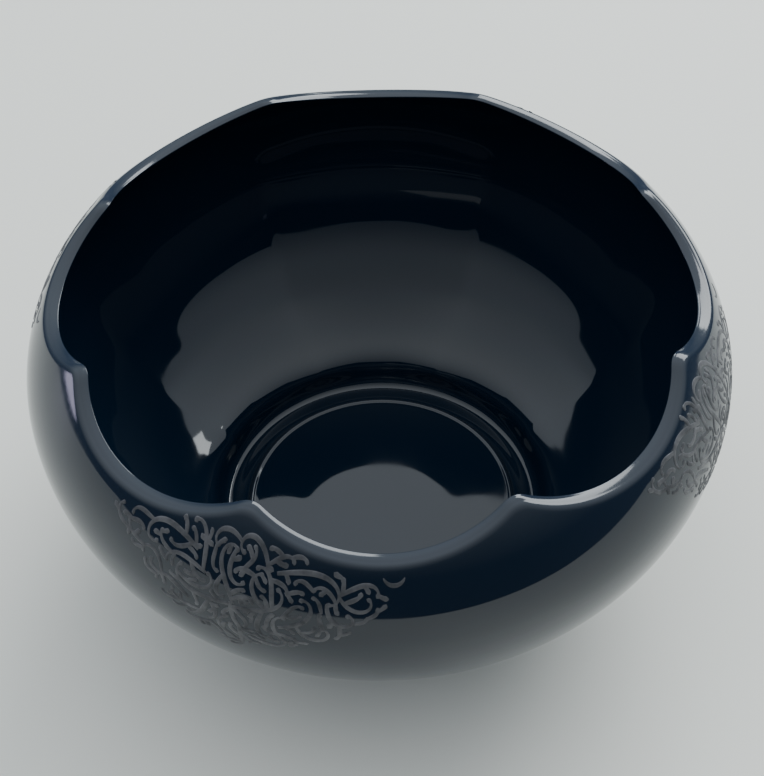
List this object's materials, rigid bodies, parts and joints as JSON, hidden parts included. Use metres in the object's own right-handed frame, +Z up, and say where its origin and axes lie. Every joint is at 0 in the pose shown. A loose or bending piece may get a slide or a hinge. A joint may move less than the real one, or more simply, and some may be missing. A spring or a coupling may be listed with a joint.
{
  "type": "scalloped bowl",
  "caption": "Round black glass bowl with a closing-in scalloped mouth, a low foot and patches of applied metal scrollwork, for holding game stones or small things.",
  "frame": {"origin": "centre of the foot's underside", "axes": "+Z up along the bowl's axis, -Y towards the front, where one scallop is centred"},
  "size_m": [0.15, 0.15, 0.0797],
  "materials": {
    "black_glass": "polished, opaque",
    "overlay_metal": "tarnished, matte"
  },
  "bodies": {
    "root": {"bowl_body": "black_glass", "overlay_front_left_curls": "overlay_metal", "overlay_front_medallion": "overlay_metal", "overlay_front_right_curls": "overlay_metal", "overlay_front_crescent": "overlay_metal", "overlay_right_left_curls": "overlay_metal", "overlay_right_medallion": "overlay_metal", "overlay_right_right_curls": "overlay_metal", "overlay_right_crescent": "overlay_metal", "overlay_back_left_curls": "overlay_metal", "overlay_back_medallion": "overlay_metal", "overlay_back_right_curls": "overlay_metal", "overlay_back_crescent": "overlay_metal", "overlay_left_left_curls": "overlay_metal", "overlay_left_medallion": "overlay_metal", "overlay_left_right_curls": "overlay_metal", "overlay_left_crescent": "overlay_metal"}
  },
  "joints": []
}
